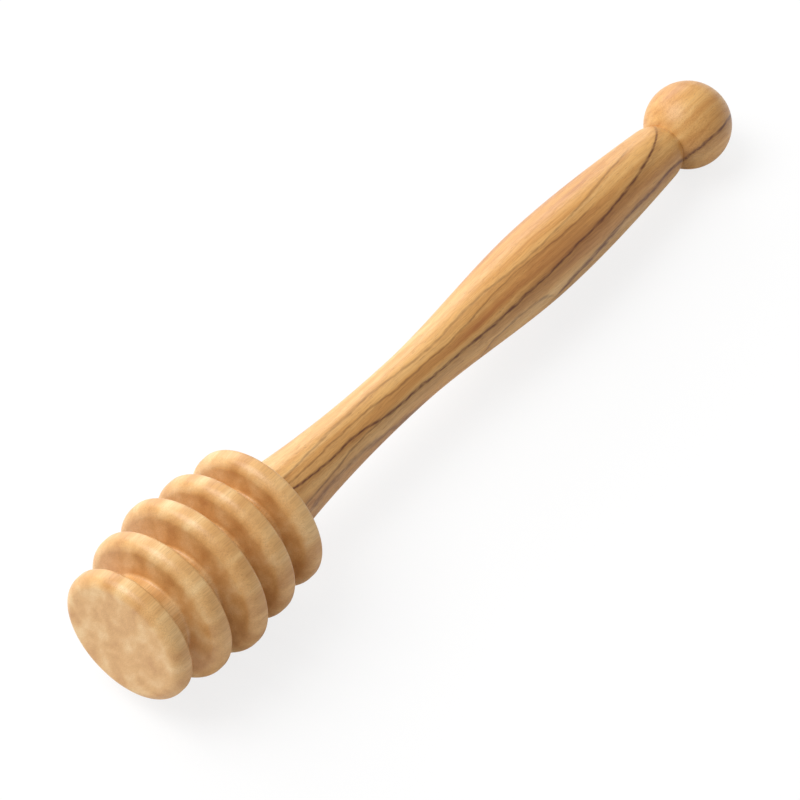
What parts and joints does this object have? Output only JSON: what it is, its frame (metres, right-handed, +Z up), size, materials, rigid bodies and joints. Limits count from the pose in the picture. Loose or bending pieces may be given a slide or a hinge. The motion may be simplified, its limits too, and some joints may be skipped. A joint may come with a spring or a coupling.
{
  "type": "honey dipper",
  "caption": "Turned wooden honey dipper: a ribbed head whose grooves hold honey, glued onto a waisted handle that ends in a round knob.",
  "frame": {"origin": "centre of the bounding box's bottom face, on the table that the dipper lies on", "axes": "+X along the table from the ribbed head to the round knob, +Z up from the table; the turning axis sinks towards the knob by 2.9 degrees"},
  "size_m": [0.1654, 0.03, 0.03],
  "materials": {
    "head_wood": "smooth turned olive wood, pale, oiled to a satin",
    "handle_wood": "smooth turned olive wood, golden brown with dark veins, oiled to a satin"
  },
  "bodies": {
    "root": {"head": "head_wood", "handle": "handle_wood"}
  },
  "joints": []
}
